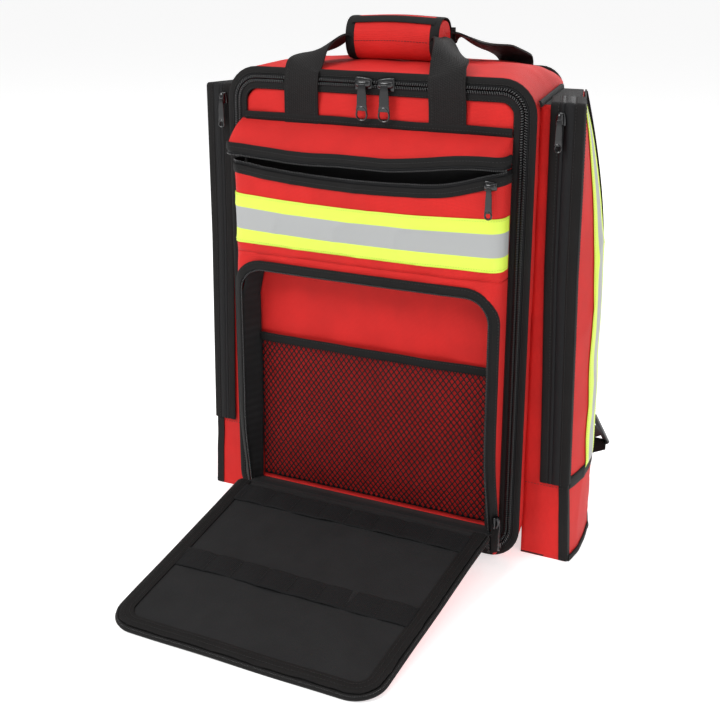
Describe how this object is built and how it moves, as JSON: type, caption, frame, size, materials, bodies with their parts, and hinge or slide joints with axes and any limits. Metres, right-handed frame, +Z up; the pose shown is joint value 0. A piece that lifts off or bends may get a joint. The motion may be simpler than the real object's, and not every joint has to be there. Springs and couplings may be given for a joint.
{
  "type": "trauma backpack",
  "caption": "Upright soft trauma backpack with a zipped front cover, a drop-down lid pocket, side pockets with doors, carry handle and padded harness.",
  "frame": {"origin": "centre of the main body's base, on the surface it stands on", "axes": "+Z up, the front with its lid towards -Y, the wearer's back towards +Y, +X to the right seen from the front"},
  "size_m": [0.4292, 0.5333, 0.539],
  "materials": {
    "red_fabric": "coated polyester, plain weave",
    "black_fabric": "polyester, plain weave",
    "black_mesh": "open warp-knit mesh",
    "reflective_tape": "fluorescent yellow with a silver retroreflective middle stripe",
    "black_metal": "semi-gloss black enamel",
    "zip_tape": "woven tape with spiral nylon teeth",
    "webbing": "polypropylene webbing",
    "spacer_mesh": "spacer mesh over foam",
    "board": "polyethylene sheet",
    "foam": "closed-cell foam",
    "grey_lining": "brushed lining",
    "buckle_plastic": "moulded acetal"
  },
  "bodies": {
    "pack": {"back_foam": "foam", "back_pad_left": "spacer_mesh", "back_pad_right": "spacer_mesh", "base_board": "board", "frame_sheet": "board", "hip_socket": "buckle_plastic", "hip_webbing": "webbing", "hip_wing_left": "spacer_mesh", "hip_wing_right": "spacer_mesh", "ladder_lock_left": "buckle_plastic", "ladder_lock_right": "buckle_plastic", "lower_webbing_left": "webbing", "lower_webbing_right": "webbing", "lumbar_pad": "spacer_mesh", "main_body": "red_fabric", "main_zip_body_tape": "zip_tape", "rear_carry_loop": "webbing", "shelf_divider_lower": "grey_lining", "shelf_divider_upper": "grey_lining", "shoulder_strap_left": "black_fabric", "shoulder_strap_right": "black_fabric", "side_pocket_left": "red_fabric", "side_pocket_right": "red_fabric", "side_zip_left": "zip_tape", "side_zip_right": "zip_tape"},
    "front_cover": {"front_cover": "red_fabric", "main_zip_cover_tape": "zip_tape", "upper_pocket": "red_fabric", "upper_zip": "zip_tape", "front_reflective_tape": "reflective_tape", "lower_pocket": "red_fabric", "mesh_pocket": "black_mesh", "cover_organiser": "black_mesh", "front_carry_loop": "webbing", "carry_grip": "red_fabric"},
    "pocket_lid": {"pocket_lid": "black_fabric", "lid_zip": "zip_tape", "lid_elastic_bands": "webbing"},
    "side_door_left": {"side_door_left": "red_fabric", "side_reflective_tape_left": "reflective_tape"},
    "side_door_right": {"side_door_right": "red_fabric", "side_reflective_tape_right": "reflective_tape"},
    "sternum_strap": {"sternum_webbing": "webbing", "sternum_runners": "buckle_plastic", "sternum_socket": "buckle_plastic"},
    "sternum_plug": {"sternum_plug": "buckle_plastic"},
    "hip_plug": {"hip_plug": "buckle_plastic"},
    "main_left_slider": {"main_left_slider": "black_metal"},
    "main_left_pull": {"main_left_pull": "black_metal"},
    "main_right_slider": {"main_right_slider": "black_metal"},
    "main_right_pull": {"main_right_pull": "black_metal"},
    "upper_slider": {"upper_slider": "black_metal"},
    "upper_pull": {"upper_pull": "black_metal"},
    "lid_slider": {"lid_slider": "black_metal"},
    "lid_pull": {"lid_pull": "black_metal"},
    "side_left_slider": {"side_left_slider": "black_metal"},
    "side_left_pull": {"side_left_pull": "black_metal"},
    "side_right_slider": {"side_right_slider": "black_metal"},
    "side_right_pull": {"side_right_pull": "black_metal"}
  },
  "joints": [
    {"name": "cover_hinge", "type": "hinge", "parent": "pack", "child": "front_cover", "pos_m": [0, -0.0972, 0.01125], "axis": [1, 0, 0], "range_deg": [0, 90]},
    {"name": "lid_hinge", "type": "hinge", "parent": "front_cover", "child": "pocket_lid", "pos_m": [0, -0.13, 0.035], "axis": [-1, 0, 0], "range_deg": [0, 98.02]},
    {"name": "side_door_left_hinge", "type": "hinge", "parent": "pack", "child": "side_door_left", "pos_m": [-0.21488, 0, 0.08525], "axis": [0, -1, 0], "range_deg": [0, 100]},
    {"name": "side_door_right_hinge", "type": "hinge", "parent": "pack", "child": "side_door_right", "pos_m": [0.21488, 0, 0.08525], "axis": [0, 1, 0], "range_deg": [0, 100]},
    {"name": "main_left_slide", "type": "slide", "parent": "front_cover", "child": "main_left_slider", "axis": [-1, 0, 0], "range_m": [0, 0.041]},
    {"name": "main_right_slide", "type": "slide", "parent": "front_cover", "child": "main_right_slider", "axis": [1, 0, 0], "range_m": [0, 0.035]},
    {"name": "main_left_pull_hinge", "type": "hinge", "parent": "main_left_slider", "child": "main_left_pull", "pos_m": [-0.009, -0.1038, 0.477], "axis": [-1, 0, 0], "range_deg": [0, 110]},
    {"name": "main_right_pull_hinge", "type": "hinge", "parent": "main_right_slider", "child": "main_right_pull", "pos_m": [0.015, -0.1038, 0.477], "axis": [-1, 0, 0], "range_deg": [0, 110]},
    {"name": "upper_slide", "type": "slide", "parent": "front_cover", "child": "upper_slider", "axis": [-1, 0, 0], "range_m": [0, 0.269]},
    {"name": "upper_pull_hinge", "type": "hinge", "parent": "upper_slider", "child": "upper_pull", "pos_m": [0.1345, -0.1308, 0.393], "axis": [-1, 0, 0], "range_deg": [0, 110]},
    {"name": "lid_slide", "type": "slide", "parent": "front_cover", "child": "lid_slider", "axis": [0, 0, 1], "range_m": [0, 0.215]},
    {"name": "lid_pull_hinge", "type": "hinge", "parent": "lid_slider", "child": "lid_pull", "pos_m": [0.1513, -0.112, 0.047], "axis": [0, -1, 0], "range_deg": [0, 110]},
    {"name": "side_left_slide", "type": "slide", "parent": "pack", "child": "side_left_slider", "axis": [0, 0, -1], "range_m": [0, 0.35]},
    {"name": "side_left_pull_hinge", "type": "hinge", "parent": "side_left_slider", "child": "side_left_pull", "pos_m": [-0.1838, -0.0848, 0.452], "axis": [-1, 0, 0], "range_deg": [0, 110]},
    {"name": "side_right_slide", "type": "slide", "parent": "pack", "child": "side_right_slider", "axis": [0, 0, -1], "range_m": [0, 0.35]},
    {"name": "side_right_pull_hinge", "type": "hinge", "parent": "side_right_slider", "child": "side_right_pull", "pos_m": [0.1838, -0.0848, 0.452], "axis": [-1, 0, 0], "range_deg": [0, 110]},
    {"name": "sternum_height", "type": "slide", "parent": "pack", "child": "sternum_strap", "axis": [0, 0, 1], "range_m": [-0.03, 0.03]},
    {"name": "sternum_buckle", "type": "slide", "parent": "sternum_strap", "child": "sternum_plug", "axis": [1, 0, 0], "range_m": [0, 0.03]},
    {"name": "hip_buckle", "type": "slide", "parent": "pack", "child": "hip_plug", "axis": [1, 0, 0], "range_m": [0, 0.03]}
  ]
}
